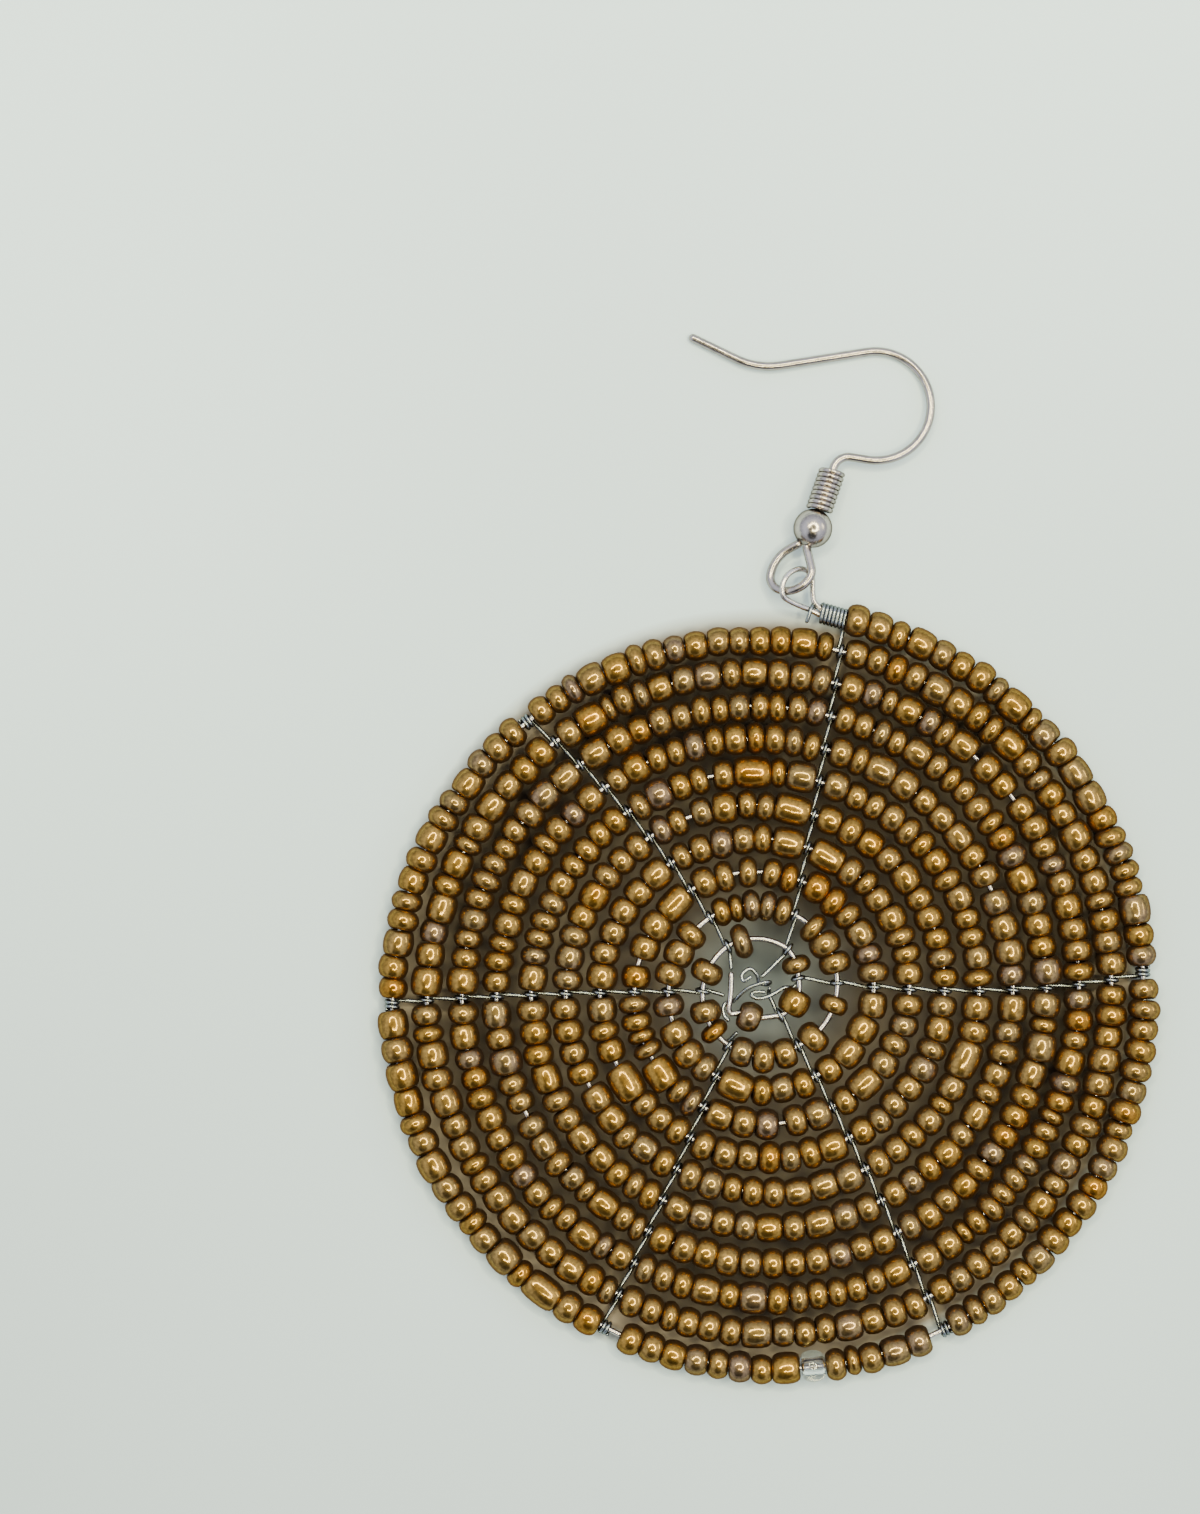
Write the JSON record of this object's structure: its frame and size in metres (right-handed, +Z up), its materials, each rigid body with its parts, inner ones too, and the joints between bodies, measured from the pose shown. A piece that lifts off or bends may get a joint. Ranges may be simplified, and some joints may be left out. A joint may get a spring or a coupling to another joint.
{
  "type": "beaded drop earring",
  "caption": "Round drop earring of bronze-gold seed beads threaded on a spiral of wire and tied with wire ribs, on a fish-hook ear wire with a ball and coil; it lies flat.",
  "frame": {"origin": "on the surface that the earring lies on, under the middle of its bounding box", "axes": "+X to the earring's right as it lies, +Y along the earring towards its ear hook, +Z up from the surface"},
  "size_m": [0.06, 0.0808, 0.003],
  "materials": {
    "nickel": "polished nickel-silver plating",
    "bright_wire": "bright drawn wire",
    "dark_wire": "dull grey drawn wire",
    "gold_beads": "glossy bronze-gold metal coat on glass seed beads",
    "clear_glass": "clear glass"
  },
  "bodies": {
    "root": {"ear_hook": "nickel", "hook_ball": "nickel", "hook_coil": "nickel", "hanging_loop": "bright_wire", "core_wire": "bright_wire", "top_wrap": "dark_wire", "centre_tie": "dark_wire", "rib_wire_1": "dark_wire", "rib_wire_2": "dark_wire", "rib_wire_3": "dark_wire", "rib_wire_4": "dark_wire", "rib_wire_5": "dark_wire", "rib_wire_6": "dark_wire", "bead_sector_1": "gold_beads", "bead_sector_2": "gold_beads", "bead_sector_3": "gold_beads", "bead_sector_4": "gold_beads", "bead_sector_5": "gold_beads", "bead_sector_6": "gold_beads", "clear_bead": "clear_glass"}
  },
  "joints": []
}
